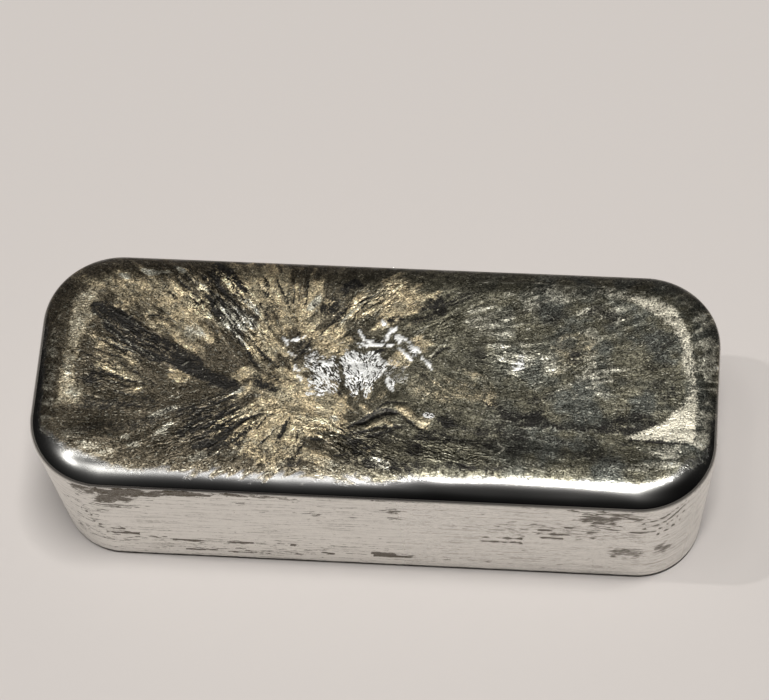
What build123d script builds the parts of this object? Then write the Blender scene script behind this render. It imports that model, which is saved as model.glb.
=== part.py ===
from build123d import *
from math import cos, radians, sin, tan
import os

# Cast metal ingot: one solid bar, poured into an open mould with drafted walls.
# The free surface froze as the liquid stood: flat in the middle, and rolling over into
# a rounded meniscus that meets the mould's wall in a crease, the widest outline of the bar.
# Millimetres, +Z up. The origin is the centre of the flat base and X runs along the bar.

# Mould: the lengths are taken at the crease
BAR_LENGTH = 110.0
BAR_WIDTH = 42.0
CREASE_HEIGHT = 30.0
CORNER_RADIUS = 12.5
DRAFT_ANGLE = 4.0
BASE_EDGE_RADIUS = 1.2

# Meniscus: the slope of the liquid where it leaves the wall, and the arc it follows inwards
MENISCUS_SLOPE = 36.0
MENISCUS_RADIUS = 9.0
CREASE_EDGE_RADIUS = 0.6

# Shrinkage hollow, where the last of the metal froze
HOLLOW_WIDTH = 21.0
HOLLOW_DEPTH = 0.4
HOLLOW_X = -2.5
HOLLOW_Y = 1.0

# The mould narrows from the crease down to the base by its draft
base_inset = CREASE_HEIGHT * tan(radians(DRAFT_ANGLE))
base_length = BAR_LENGTH - 2 * base_inset
base_width = BAR_WIDTH - 2 * base_inset
base_corner_radius = CORNER_RADIUS - base_inset

# The arc of the meniscus ends level, so the crease lies below the top by the arc's rise,
# and the arc's own upright tangent lies outside the crease
meniscus_rise = MENISCUS_RADIUS * (1 - cos(radians(MENISCUS_SLOPE)))
meniscus_overhang = MENISCUS_RADIUS * (1 - sin(radians(MENISCUS_SLOPE)))
top_height = CREASE_HEIGHT + meniscus_rise

# A round bowl of the hollow's width and depth
hollow_radius = (HOLLOW_WIDTH**2 / 4 + HOLLOW_DEPTH**2) / (2 * HOLLOW_DEPTH)

# The liquid's free surface, as a block whose rolled-over rim stands wider than the mould
with BuildPart() as free_surface:
    with BuildSketch():
        RectangleRounded(
            BAR_LENGTH + 2 * meniscus_overhang,
            BAR_WIDTH + 2 * meniscus_overhang,
            CORNER_RADIUS + meniscus_overhang,
        )
    extrude(amount=top_height)
    fillet(free_surface.edges().group_by(Axis.Z)[-1], MENISCUS_RADIUS)
    with Locations((HOLLOW_X, HOLLOW_Y, top_height - HOLLOW_DEPTH + hollow_radius)):
        Sphere(hollow_radius, mode=Mode.SUBTRACT)

# The ingot is what the mould and the free surface have in common
with BuildPart() as ingot:
    with BuildSketch():
        RectangleRounded(base_length, base_width, base_corner_radius)
    extrude(amount=top_height, taper=-DRAFT_ANGLE)
    add(free_surface.part, mode=Mode.INTERSECT)
    crease = ingot.edges().filter_by_position(Axis.Z, CREASE_HEIGHT - 0.01, CREASE_HEIGHT + 0.01)
    fillet(crease, CREASE_EDGE_RADIUS)
    fillet(ingot.edges().group_by(Axis.Z)[0], BASE_EDGE_RADIUS)
ingot.part.label = "ingot"

os.makedirs("parts", exist_ok=True)
export_step(ingot.part, "parts/ingot.step")
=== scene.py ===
import math

import bpy
import numpy as np
from bpy.props import FloatProperty, FloatVectorProperty, PointerProperty
from mathutils import Matrix, Vector


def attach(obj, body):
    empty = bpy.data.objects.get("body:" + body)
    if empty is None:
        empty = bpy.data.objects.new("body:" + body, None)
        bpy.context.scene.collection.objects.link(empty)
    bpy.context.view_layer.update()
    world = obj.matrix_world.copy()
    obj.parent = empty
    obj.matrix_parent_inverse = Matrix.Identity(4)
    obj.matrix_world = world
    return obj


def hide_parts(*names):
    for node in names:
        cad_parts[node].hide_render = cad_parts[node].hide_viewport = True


bl_info = {
    "name": "Cast ingot",
    "version": (1, 0, 0),
    "blender": (4, 5, 0),
    "location": "View3D > Sidebar > Ingot",
    "description": "Pours a cast metal ingot, freezes crystals and oxide on it, and sets it on a pale floor",
    "category": "Add Mesh",
}

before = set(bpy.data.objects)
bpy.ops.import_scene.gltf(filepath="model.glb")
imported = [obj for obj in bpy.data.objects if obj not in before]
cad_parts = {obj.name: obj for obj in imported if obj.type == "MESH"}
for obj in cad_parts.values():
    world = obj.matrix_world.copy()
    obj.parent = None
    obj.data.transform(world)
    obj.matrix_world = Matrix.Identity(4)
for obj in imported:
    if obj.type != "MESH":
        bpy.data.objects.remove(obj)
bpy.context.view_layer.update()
MM = 0.001

# The camera, fitted to the outline of the bar in the photograph, in degrees, mm and pixels
CAMERA_ELEVATION = 62.48
CAMERA_AZIMUTH = 10.51
CAMERA_ROLL = -6.92
CAMERA_DISTANCE = 578.6
CAMERA_RIGHT = -0.17
CAMERA_UP = 18.86
FOCAL_PIXELS = 3441.0
FRAME_PIXELS = 769
SENSOR_WIDTH = 36
NEAREST_SEEN = 10

# The lamps: name, direction from the bar, length and width in metres, and power in watts
LAMPS = (
    ("ceiling_lamp", (0.087, -0.088, 0.99), (1.05, 0.22), 74),
    ("ceiling_glow", (-0.19, -0.105, 0.99), (0.66, 0.40), 8),
    ("left_lamp", (-0.446, -0.05, 0.893), (0.05, 0.05), 12),
)
LAMP_DISTANCE = 3.0
# The floor: its side in metres, and the roughness and shine of its paper
FLOOR_SIZE = 16
PAPER_ROUGHNESS = 0.9
PAPER_SHINE = 0.1

# Rings of the mesh round the crease, down the wall and round the foot, and how much the wall's crowd upwards
CREASE_RINGS = 5
WALL_RINGS = 34
FOOT_RINGS = 4
WALL_CROWDING = 1.35
# Points no more than this below the crease, in metres, belong to the poured face
LEVEL_SLACK = 1e-6
# Distances in mm over which a relief fades in: from the crease inwards, and from the base upwards
CREASE_FADE = (0.3, 2.4)
FOOT_FADE = (0.5, 2.0)

# Numbers and masks that scatter the draws of the lattice, and the shifts between the octaves of a noise
SCATTER = (374761393, 668265263, 1440662683, 1274126177)
MIXERS = (1103515245, 2246822519)
WORD = 0xFFFFFFFF
HALF_WORD = 0xFFFF
OCTAVE_SHIFT = (17, 31, 7)

# Grain: the size of its cells along and across in mm, its seed and its octaves
EDGE_GRAIN = (1.5, 1.5, 3, 3)
FACE_GRAIN = (0.6, 0.6, 41, 2)
CLOUDS = (3.2, 3.2, 43, 4)
LOW_WAVES = (8, 8, 47, 2)
PATCH_EDGES = (1.7, 1.7, 21, 3)
FROST_EDGES = (0.7, 0.7, 53, 1)
FROST_LUMPS = (0.9, 0.9, 59, 2)
WANDER_ALONG = (1.8, 1.8, 5, 2)
WANDER_ACROSS = (1.8, 1.8, 9, 2)
WALL_EDGES = (1.2, 0.8, 71, 3)
WALL_WAVE = (9, 1.2, 61, 2)
WALL_WRINKLES = (0.8, 0.6, 73, 1)
# Streaks drawn out along the growth: their width and reach in mm, and their seed
STREAKS = (0.48, 1.5, 31)
BANDS = (1.15, 3.2, 37)
COMB_STEPS = 11
SHEAF_SEED = 83

# How the growth is blended between named places: over how many square mm, and how fast it fades
GROWTH_BLUR = 2.0
GROWTH_FADE = 1.5
# How far a patch's soft edge reaches outwards (below nought) and inwards, in shares of its half size
PATCH_SOFTNESS = (-0.45, 0.65)
WALL_SOFTNESS = (-0.1, 0.5)
# How far round a stroke it is worked out, in mm
STROKE_REACH = 1.5
# A stroke tapers like half a sine wave, less this share at each end, and its sine is at least the second
STROKE_TIP = 0.06
THINNEST_TIP = 0.02

# The rim is smooth, and the crystals set in between these insets in mm
CRYSTALS_START = (1.3, 3.7)
# The poured face is darkened along its edge, within these insets in mm: painted shade, strong on the near
# side and slight on the far side
PAINTED_SHADE_EDGE = (2.0, 4.2)

# Roughness of the smooth rim and of the crystals, and what each finish adds to it or takes away
RIM_ROUGHNESS = 0.23
SKIN_ROUGHNESS = 0.44
NEAR_RIM_POLISH = 0.09
WALL_ROUGHER = 0.10
HAIR_POLISH = 0.14
FROST_ROUGHER = 0.16
# How high the bump of the material stands, in metres
BUMP_HEIGHT = 0.00016
# The brightest that the grain makes the tarnish
BRIGHTEST = 2.1

# Places on the poured face are in mm, and their origin lies this far from the middle of the bar.
FACE_ORIGIN = (0.1, 0.45)

# Which way the crystals grew at some places: x, y, and the way in degrees from +X
GROWTH = (
    (-46, 12, -30), (-40, 14, -28), (-36, 16, -45), (-31, 13, -48), (-25, 13, -46), (-21, 8, -50),
    (-19, 15, -60), (-15, 14, -78), (-11, 14, 70), (-6, 13, 52), (-1, 14, 44), (6, 12, 32), (13, 13, 28),
    (20, 14, 22), (-42, 7, -34), (-36, 4, -33), (-40, 0, -25), (-46, -3, -20), (-37, -5, 6), (-30, -8, 22),
    (-34, -12, 30), (-26, -12, 28), (-20, -12, 42), (-16, -12, 56), (-44, -12, 8), (-15, 2, -48),
    (-10, -5, -8), (-9, 4, 35), (-4, -12, -24), (3, -12, -22), (9, -14, -14), (17, -12, -10),
    (27, -12, -10), (37, -12, -6), (15, 0, -14), (22, 3, -6), (-7, -1, -55), (-4, 1, -38), (-1, 0, 76),
    (2, 1, 42), (29, 1, 32), (34, 8, 30), (39, 2, 4), (45, 8, 42), (46, -2, 4), (36, -6, 4), (27, 12, 15),
    (8, 0, -40),
)

# Patches of the poured face: middle x and y, length, width, turn in degrees, strength
STRAW_PATCHES = (
    (8.2, -8, 3, 2.4, 0, 0.75), (-35.5, 11.5, 23, 13, -12, 0.4), (-39.5, 13.5, 14.4, 7.8, -8, 0.45),
    (-31.5, 10, 8.4, 14.4, 20, 0.7), (-20, 15.8, 13.2, 9.6, -10, 1), (-14, 11, 10.8, 10.8, 0, 0.75),
    (-11, -5.5, 19.2, 10.2, -8, 1.21), (-17, -10.5, 10.8, 11.4, 40, 1), (-8, 5.4, 7.2, 6, 0, 1.05),
    (2.4, 13.2, 9.6, 7.8, 35, 0.95), (15, -1.8, 13.2, 5.5, -12, 0.33), (11.4, -3.4, 5.5, 4.1, -35, 0.3),
    (7.6, -3, 4.8, 3.1, 0, 0.2), (-8.2, -15.2, 5.4, 3.6, -30, 0.5), (-31.8, -1.4, 3.4, 2, -5, 1.37),
    (-42.5, 3, 9.6, 6, -35, 0.3), (3.3, 3.2, 3.6, 2.6, 0, 0.95), (6.6, 6.2, 3.6, 2.6, -50, 0.95),
    (31, 5, 9.6, 7.2, 30, 0.22), (-18.5, 5.2, 9, 7, -45, 0.85), (-29.5, 4.5, 8, 6, -40, 0.38),
    (-41.5, 9.8, 9, 6, -30, 0.3), (-38, 11.2, 9, 5, -35, 0.4), (-3.6, 12.6, 6, 4, 45, 0.6),
    (-21.6, -1, 4.8, 2.4, 20, 0.73), (-40.5, -1.8, 8.4, 3.6, -20, 0.38), (-14.2, -1.2, 3.6, 3.6, 0, 0.63),
)
DARK_PATCHES = (
    (-18.4, 10.2, 4, 5, -60, 0.9), (4, -10.9, 12, 4, -10, 0.8), (8.4, 0.2, 5, 6, 0, 0.6),
    (-22.6, -6.6, 5, 8, 30, 0.9), (-18.5, -14.8, 9, 3, 10, 0.7), (31.5, -7.2, 8, 4, 0, 0.6),
    # The long thin patch at x 8, y -15.8 is painted shade that darkens the face just above the near rim's
    # highlight.
    (8, -15.8, 24, 2.4, -1, 0.8), (-27, -9.5, 13, 8, 25, 0.9), (-36.6, 2.2, 9, 4, -33, 1.3),
    (9.5, -10.6, 9, 4, -10, 0.9), (25, -6.8, 18, 5, -5, 1.2), (-15.6, -15.8, 6, 2.4, 10, 0.6),
    (-26.4, 17.2, 6, 4.2, -35, 1.3), (-23.4, 13.4, 5.5, 1.8, -40, 0.8), (-18, 12.6, 4.5, 3.4, 0, 0.55),
    (-8.1, 11.6, 3.8, 3.8, 20, 1.2), (-4.8, 16, 4.4, 2.2, 35, 1.2), (8.8, 12.4, 6, 3, 25, 1.1),
    (13.6, 14.6, 7, 1.8, 28, 0.9), (4, 10.1, 6.5, 1.5, 8, 1.2), (17.5, 16.6, 4, 2, 10, 0.8),
    (-17.4, -2.4, 4.2, 4, 45, 1), (-24.5, -2.8, 8, 2.4, -20, 1), (-45, -3.2, 6, 5, -20, 0.8),
    (-43, -8, 14, 3, 4, 0.8), (-38, -6.5, 8, 2, 20, 0.7), (-24.5, -12.5, 9, 6, 25, 1.1),
    (-31, -9, 6, 3, 25, 0.8), (-36.5, -10.5, 7, 2.4, 20, 0.8), (-42.5, -12, 8, 4, 10, 0.6),
    (-2.5, -12, 8, 4, -22, 0.9), (6, -12.6, 10, 3, -18, 0.75), (11.9, -7.8, 4.4, 4, 20, 1.2),
    (-11.6, -16, 3.4, 2.4, 10, 0.8), (26.5, -3.4, 8, 4, 25, 0.75), (31.8, 3.8, 2.6, 2.6, 45, 0.9),
    (16.6, 3.8, 2.8, 3, 0, 0.6), (37.5, -7.4, 17, 5, 2, 1), (36, 12.4, 10, 3.6, -12, 0.8),
    (45.6, 7.4, 6, 8, -25, 0.75), (46.5, -1, 6, 4, 10, 0.8), (27.5, 12.5, 5, 6, -20, 0.6),
    (21.5, 12, 4, 3, 0, 0.5), (20, -10, 16, 6, -8, 0.85), (33, -12, 14, 5, -5, 0.6),
    (-12.4, 5, 1.8, 3.6, -30, 1), (0.6, 4.4, 3.4, 1.2, 10, 1.2), (5.6, 5, 4.4, 0.9, -48, 0.9),
    (-5.4, -3.6, 1.4, 2.2, 0, 0.8),
)
PALE_PATCHES = (
    (16.8, 9.8, 9, 7, -10, 0.5), (22.4, 3.8, 4.6, 4.2, -20, 0.7), (23, 6.8, 3, 1.6, -30, 0.5),
    (27.6, 3.2, 2.6, 4, 0, 0.7), (30.2, -0.6, 5, 1, 32, 0.5), (34.8, 2.2, 7, 4.4, 0, 0.7),
    (36.6, -2, 2.6, 3.4, 20, 0.4), (24, 13.6, 4, 2.4, 15, 0.6), (34, 9.4, 4, 2, -35, 0.5),
    (-23, 8.6, 9, 5, -46, 0.8), (-22.4, -3.6, 3, 1.6, 10, 0.9), (-18.8, -4.6, 1.8, 1, 0, 1.2),
    (-33.6, -8.4, 4, 1.4, 22, 0.8), (-33, -12, 4.6, 2, 30, 0.8), (-38.6, -13.4, 4, 1.6, -38, 0.5),
    (-22.4, -15.6, 4.6, 2.4, 35, 0.4), (-27.6, -16, 4, 1.6, 20, 0.5), (-6.6, -16.2, 4.4, 2.2, -10, 0.5),
    (-14, -16.6, 6, 1.8, 15, 0.3), (31, 15.8, 24, 3.8, 3, 0.5), (36.5, 13.4, 9, 4, -5, 0.5),
    (1.4, -15.8, 3.4, 1.6, -10, 0.8), (-37.4, 17, 4.6, 1.1, 4, 1.1), (-33.6, 17.9, 2.2, 0.8, -30, 1.3),
    (-42.4, 16, 2.2, 0.9, 0, 0.9), (-10.6, 12.4, 1.4, 3, -45, 0.9), (47.2, -11.6, 5, 3.4, 10, 0.8),
    (44, -14.2, 6, 1.6, 6, 0.7), (38, 16.4, 9, 1.5, -6, 0.9), (-47.4, -12.6, 4, 3, 0, 0.3),
    (-44.5, -15, 8, 1.6, -12, 0.4), (6, -10.6, 1.4, 1.4, 0, 0.7), (-30, 6.4, 4, 3.4, 20, 0.7),
    (-5.8, -8, 1.4, 1.4, 0, 0.8), (53, 5, 3.4, 15, 0, 0.9), (52.8, -7, 3.4, 11, 0, 1),
    (50.6, 14, 5, 2.6, -45, 0.7), (51.6, -14.4, 4, 2.4, 50, 0.8), (-52.6, -2, 2.4, 18, 0, 0.5),
)
BARE_PATCHES = (
    (-7.9, -0.3, 6.4, 6.4, -25, 1.25), (-6.8, -2.4, 2.4, 3.1, 0, 0.88), (-2.9, 0.6, 6.2, 8.4, -12, 1.54),
    (-4.4, 2.2, 2.9, 2.9, 0, 1.1), (1.4, 1.2, 5.3, 5.5, 20, 0.38), (2.6, -1.8, 1.2, 2.9, 15, 0.7),
    (4.2, -0.4, 2.4, 2.9, 0, 0.3), (-3.2, -3.6, 2.2, 1.4, 30, 1.21), (8.9, -6.8, 1.6, 1.2, 0, 1.54),
    (-10.5, 3.4, 4, 3, -40, 0.6), (5.6, 4.6, 3, 1.2, -48, 0.6), (22.8, 3.2, 2, 2.6, 0, 0.7),
)
STREAKY_PATCHES = (
    (-25, 10.5, 20, 7.5, -46, 1.3), (-39.5, 4, 14, 7, -33, 0.9), (-28, -11, 18, 9, 28, 0.9),
    (-2, -12.8, 16, 6, -24, 1.5), (12, -13, 18, 5, -12, 1.1), (-1, 13, 14, 5, 44, 0.9),
    (10, 9, 10, 4, 28, 0.7), (22, 3, 8, 6, -5, 0.6), (-44, -3, 12, 7, -20, 0.6),
)

# Outlines: the bright grainy crescent at the right end, and the sandy band at the left end
CRESCENT = (
    (36.5, 16.3), (44, 16.2), (47.4, 14.4), (49.6, 10.8), (50.6, 7), (51.4, 2), (51.7, -2), (51.3, -9.5),
    (40.4, -9.3), (46, -6.6), (48.9, -3), (50.2, 0.6), (48.8, 3.2), (48.4, 8), (46.2, 11.2), (41, 14.8),
)
SANDY_BAND = (
    (-50.9, -7.6), (-50.6, 0), (-50.4, 6), (-50.2, 12), (-46.5, 14), (-45.9, 9), (-48, 5), (-48.8, -3),
    (-46.8, -4.4), (-46.8, -7.4),
)

# Strokes: width, how high it stands (below nought: how deep), and the x and y of each point of its line
# The slabs are covered with the darkest colour: their near-black is a painted reflection of the dim room.
SLABS = (
    (3, 0.02, -46, 9.9, -43, 8.3, -39, 6), (5, 0.03, -42.8, 7.4, -38.5, 4.9, -33.6, 2.1),
    (4.2, 0.03, -34.5, 2.9, -32, 1.5, -29.6, 0.5), (2.8, 0.03, -30.6, 0.2, -27.5, -1.3, -23, -3),
)
LIGHT_LINES = (
    (0.6, 0.07, -45.6, 7.2, -43, 5.4, -40.6, 4, -38, 2.6, -34.8, 0.9), (0.6, 0.07, -45, 8.4, -43.6, 6.9),
    (0.7, 0.07, -44.8, 5, -42, 3.4, -39.6, 2.3, -37, 1), (0.45, 0.05, -42.2, 6.9, -41.4, 6.3, -40.6, 5.9),
    (0.6, 0.05, -43, 9.2, -40.6, 7.9, -38.2, 6.6), (0.5, 0.05, -31.9, 2.3, -30.8, 1.7),
    (0.55, 0.05, -31.5, 0.1, -29.9, 0.9), (0.6, 0.06, -27.4, 11.6, -24.8, 8.4, -22.4, 5.4),
    (0.7, 0.07, -26.6, 12.6, -23.6, 9.2, -20.6, 6), (0.6, 0.06, -25.6, 13.4, -22.6, 10.4, -19.2, 7),
    (0.6, 0.06, -24.2, 13.9, -21.4, 11.2, -18.4, 8.6), (0.6, 0.06, -29.8, 15.6, -27.4, 12.6, -25.4, 10),
    (0.7, 0.06, -22.8, 12.4, -21.4, 12.6), (0.6, 0.06, -31.6, 16.6, -29.4, 14.4),
    (0.6, 0.07, -32.8, 17.9, -30.4, 15.4, -28.6, 13.8), (0.6, 0.05, -48.6, 1.6, -47.7, 2.2),
    (0.65, 0.05, -48.3, 0.2, -47.5, 0.9), (0.55, 0.05, -48.6, -1, -47.8, -0.5),
    (0.55, 0.05, -48.4, -2.4, -47.8, -1.9), (0.5, 0.05, -44.2, 13.7, -42.7, 13.8),
    (0.6, 0.05, -47, 6.4, -45.8, 6.5), (0.8, 0.06, -40.9, 8.2, -40.2, 8.8),
    (0.8, 0.06, -17.6, 0.6, -16.8, 1.2), (0.6, 0.05, 20.9, -7.3, 22.3, -7.4),
    (0.4, 0.03, 17, -7.2, 20.6, -7.2), (0.7, 0.05, 19.4, -6.2, 19, -7.2, 19.4, -8.2),
    (0.7, 0.05, 15.2, -5.2, 15.8, -5.7),
    (0.8, 0.05, 20.1, -10.6, 20.6, -11.6, 21.4, -12, 20.8, -12.9, 20, -13.4),
    (0.7, 0.05, 15.7, -11.8, 16.1, -11.8), (0.7, 0.05, 33, -9.4, 33.6, -9.4),
    (1.2, 0.06, 12.3, 1, 12.8, 1.1), (0.6, 0.06, -6, 8.8, -3.2, 12.6, 0, 16),
    (0.6, 0.06, -7.4, 7.2, -5, 10.4, -2.4, 13.6), (0.6, 0.06, 5, 6.8, 8.4, 9.6),
    (0.6, 0.06, 8.2, 3.6, 10.2, 5.6, 11.6, 6), (0.5, 0.04, 38.4, 0, 38.9, -0.8),
    (0.9, 0.05, 15, 17.7, 24, 17.8, 33, 17.7, 41, 17.2, 45.6, 15.8),
)
CRACKS = (
    (0.55, -0.06, -45.4, 11.4, -42.6, 9.9, -40, 8.3, -37.6, 6.9),
    (0.65, -0.08, -45, 7.6, -43, 5.9, -41, 4, -38.8, 2.5, -36.6, 1.1),
    (0.65, -0.08, -45.2, 4.2, -42.2, 2.9, -39.8, 1.6, -37.4, 0.5),
    (0.5, -0.06, -43.4, 4.9, -41.4, 3.1, -39.4, 1.9),
    (0.55, -0.06, -48.5, 2.2, -45.6, 1, -43, -0.2, -41, -0.9),
    (0.55, -0.06, -41.5, 0.3, -38.4, -1.6, -35, -3.4), (0.5, -0.06, -38.8, 9.1, -36.4, 9, -34.4, 8.3),
    (0.55, -0.06, -35.8, 14.9, -34.4, 13.4, -33.2, 12.2),
    (0.7, -0.08, -35, 17.8, -33.2, 15.6, -31, 13.4, -28.4, 11.2),
    (0.7, -0.08, -33.6, 18.2, -31.2, 15.6, -28.8, 13.1, -26.4, 10.4, -25, 7.8),
    (0.6, -0.07, -28.6, 14.4, -26.2, 12, -24, 9, -21.8, 6.2),
    (0.7, -0.08, -27.2, 15, -24.4, 12.4, -21.4, 9.4, -19.4, 7),
    (0.7, -0.08, -25, 14.8, -22.2, 12.4, -19.4, 9.8, -17.6, 7.4),
    (0.7, -0.09, -23.4, 7.2, -21.8, 4, -19.8, 1.8, -18.6, 0.2),
    (0.7, -0.1, -20.4, 5, -18.6, 2.8, -16.8, 1.4, -15.4, 0),
    (0.6, -0.07, -21.2, 16.6, -19.4, 14.4, -17.4, 12.8), (0.6, -0.07, -19.8, 17.4, -18.4, 15.2),
    (0.55, -0.07, -17.3, 16.8, -16.2, 14.4, -15.2, 11.6), (0.7, -0.05, -12.4, 16.8, -12.2, 15.2),
    (0.6, -0.08, -22.8, -10.4, -20, -8.7, -17.6, -7.8, -15, -7.8),
    (0.5, -0.06, -21.4, -12.9, -19.4, -10.6, -18, -9.2), (0.45, -0.05, -17.6, -13.8, -15.2, -10.6),
    (0.6, -0.06, -14.4, -17, -11.8, -15.2, -10.4, -12.4),
    (0.7, -0.08, -10.4, -11.2, -8.8, -12.2, -7, -11.6), (0.6, -0.07, -8.2, -10.8, -7, -12.2, -6.2, -13.4),
    (0.7, -0.08, -13.2, 2, -12, 3.6, -10.8, 5.6), (0.6, -0.06, -9.4, 6.6, -7.6, 8.8, -5.8, 10.2),
    (0.5, -0.06, -5, 11, -2.6, 13.6, 0.4, 15.6), (0.7, -0.08, 8.4, 3.4, 10, 4.6, 11.6, 5.4),
    (0.6, -0.06, 9.6, -9, 6, -8, 4.6, -6.4), (0.8, -0.1, -3.6, -9.6, -1.4, -8.6, 0.2, -7.8),
    (0.7, -0.08, 0.6, -9.3, 2.8, -9.4, 5.6, -8.9), (0.55, -0.05, 51, -9.8, 46, -9.9, 40.6, -9.5),
    # The next two cracks, along the fold, are shallow grooves whose dark colour is painted shadow of the
    # fold.
    (2.1, -0.22, -1.8, -9, -0.4, -7.9, 1.2, -6.9, 2.8, -6.4, 4, -6.5),
    (0.9, -0.1, 4, -6.4, 5.2, -7.2, 6.4, -8, 7.4, -8.9, 8.8, -9.3),
    (0.6, -0.06, 0.2, -6.4, 1.8, -5.2, 3.8, -4.6, 5.4, -5.2),
)
RIDGES = (
    (1.4, 0.14, -15.6, 6.1, -14.6, 5.2, -14.2, 4.2), (1, 0.12, -13.6, 5.6, -12.6, 6.3, -11.2, 6.9),
    (1, 0.12, -14.6, 3.4, -13.4, 3, -12.3, 3.2), (0.8, 0.1, -13.2, 1.4, -12.6, 0.4, -11.8, 0),
    (0.7, 0.1, -12.4, -0.6, -11.8, -1.3, -10.4, -1), (0.9, 0.12, -3.2, 7.8, -2.4, 6.4, -1.6, 5.8, 0.4, 6),
    (0.9, 0.12, -4, 5.4, -1.8, 5.3, 0.8, 5.2, 2.2, 5.6), (1.1, 0.12, 0.4, 9.6, 1.2, 8.4),
    (1.4, 0.14, 1, 6.2, 1.9, 7.2, 2.6, 8.4), (1.1, 0.13, 3, 7.6, 3.3, 6.6, 3.6, 5.6),
    (1, 0.12, 3.8, 7.2, 5.2, 5.8, 6.2, 4.9, 7, 4.2), (1.2, 0.13, 3.4, 4.9, 4.6, 4, 6, 2.9),
    (0.8, 0.1, 7.4, 3.6, 8, 2.6, 9, 0.9), (0.7, 0.06, -0.4, 3.8, 0.8, 2.6, 1.8, 1.6),
    (0.8, 0.06, -5.2, 3.6, -3.8, 2, -2.8, -0.2), (0.8, 0.06, -4, 3.8, -2.2, 1.4, -1.2, -1.4),
    (0.6, 0.05, -9.8, 0.4, -8.4, -1, -7, -2.6), (0.7, 0.05, -9, 1.6, -7.2, 1.2),
    (0.6, 0.06, 2, -0.4, 2.4, -1.8, 3, -3),
)
FOLDS = (
    (2.2, 0.09, 4, -5.6, 5.2, -6.2, 6.4, -7, 7.4, -7.8), (2.6, 0.05, 7, -7.8, 8, -8, 9, -8),
    (1.1, 0.06, -0.8, -9.7, 0.6, -8.8, 2, -8.2, 3.4, -8.9),
)

# Sheaves of fine cracks: where the sheaf starts and ends, how wide it is at each end, and how many cracks
SHEAVES = (
    ((-31, 16.6), (-19.6, 3.4), 6.5, 3.6, 10), ((-46, 5.6), (-35, 0), 6, 3.4, 5),
    ((-31, -12.4), (-17.4, -4.6), 8.5, 4, 7), ((-46, -3), (-32, -6.4), 6, 5, 5),
    ((-8.4, -14.6), (5.6, -9.4), 5, 4.4, 5), ((-1.6, 16.4), (-9.4, 6.8), 5, 3, 4),
    ((15, 15.4), (2.6, 8.6), 4.4, 2.4, 4), ((-16.8, 17.2), (-14.6, 9.4), 11, 4, 5),
    ((-16, -16), (-12.6, -6.8), 12, 5, 4),
)

# Broad low swells: middle x and y, length, width and rise
SWELLS = (
    (-44.5, -13.4, 13, 8, 0.52), (24, -15, 84, 10.2, 0.46), (3, -5.4, 8, 7, 0.16), (8.6, -6.8, 5, 5, 0.08),
)

# Worn patches of the near wall: middle x and z, length, height and strength
WALL_PATCHES = (
    (-38.5, 28.6, 17, 3.8, 1.9), (-41, 26, 8, 5, 1.4), (-30, 29, 14, 2.6, 1.5), (-40, 22.6, 8, 2.4, 0.9),
    (-17, 29.4, 16, 1.4, 0.9), (-45.5, 27.5, 5, 4, 0.8), (-20, 8, 60, 2.2, 0.36), (-10, 5, 70, 2.6, 0.4),
    # The tall patch at x -47 darkens the whole left end of the near wall.
    (-44, 9, 14, 9, 0.45), (-47, 15, 9, 26, 0.35), (-24, 3.6, 30, 1.6, 0.7), (30, 20, 34, 9, 0.45),
    (4, 25.8, 4, 3, 0.8), (4.2, 22.4, 5, 1.6, 0.8), (-2.4, 22, 3, 1.6, 0.7), (-12, 28.4, 5, 2.6, 0.6),
    (-20, 26, 3.5, 1.8, 0.7), (-8.5, 22.5, 4, 2.4, 0.5), (-23.4, 27.4, 2, 2, 0.6), (36.5, 26.5, 7, 7, 1.15),
    (41, 27.5, 8, 5, 1), (38, 22.5, 9, 3.6, 0.7), (41, 11.5, 7, 5, 0.9), (47.2, 12, 3.4, 5.5, 1),
    (32.6, 29.6, 3, 1.4, 0.7), (-44, 20.4, 3, 1, 0.6), (43.4, 16.6, 2, 3, 0.5), (-42, 12.4, 6, 1.4, 0.6),
)
# Dark scores of the near wall: width, and the points of the line in x and z
WALL_SCORES = (
    (0.8, -38.6, 8.6, -33.6, 8.5), (1.3, -33, 7.8, -27.4, 8.2), (1, -24.6, 7.6, -19.8, 7.9),
    (0.9, -31.8, 3.4, -27.8, 3.9), (1, -1, 5.4, 1.4, 5.9, 3.8, 5.5), (0.7, -0.4, 4.6, 7, 4.9),
    (0.9, -14.4, 7.4, -12.8, 8), (0.8, -46.6, 14.6, -44, 12.4, -40.4, 11.8),
    (0.7, -47.4, 18.6, -45.4, 16.2), (0.7, -19.8, 4, -18.6, 4.4), (0.7, -10.4, 4.2, -6.6, 4.6),
    (0.8, 16, 15.3, 24.6, 15.8), (0.8, 25.4, 16.2, 33, 17.3, 45.4, 17.2),
    (0.9, 22.6, 17.9, 33, 18.8, 46, 19, 50, 22), (0.8, 27, 20.2, 36, 20.6, 46, 21.2, 50.4, 25),
    (0.7, 29, 22, 34, 22.2), (0.65, 15, 13.4, 24.6, 14), (0.8, 44, 22.6, 48, 24.6, 51, 28),
    (0.7, 43, 24.6, 47.4, 26.4, 50.4, 29), (0.8, 38.6, 10.4, 44, 10.2), (0.65, -44, 10, -38, 9.9),
)

# The finishes that the mesh keeps at its points for the material
FINISHES = (
    "face", "tone", "straw", "dark", "pale", "bare", "cream", "lines", "ridge", "comb", "calm",
    "wall", "patched", "scores_and_foot_shade",
)


def length_prop(name, description, default):
    """A length in metres that a user may change."""
    return FloatProperty(name=name, description=description, default=default, unit="LENGTH")


def angle_prop(name, description, degrees):
    """An angle that a user may change."""
    return FloatProperty(name=name, description=description, default=math.radians(degrees), subtype="ANGLE")


def colour_prop(name, description, default):
    """A colour that a user may change."""
    return FloatVectorProperty(name=name, description=description, default=default, subtype="COLOR")


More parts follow.
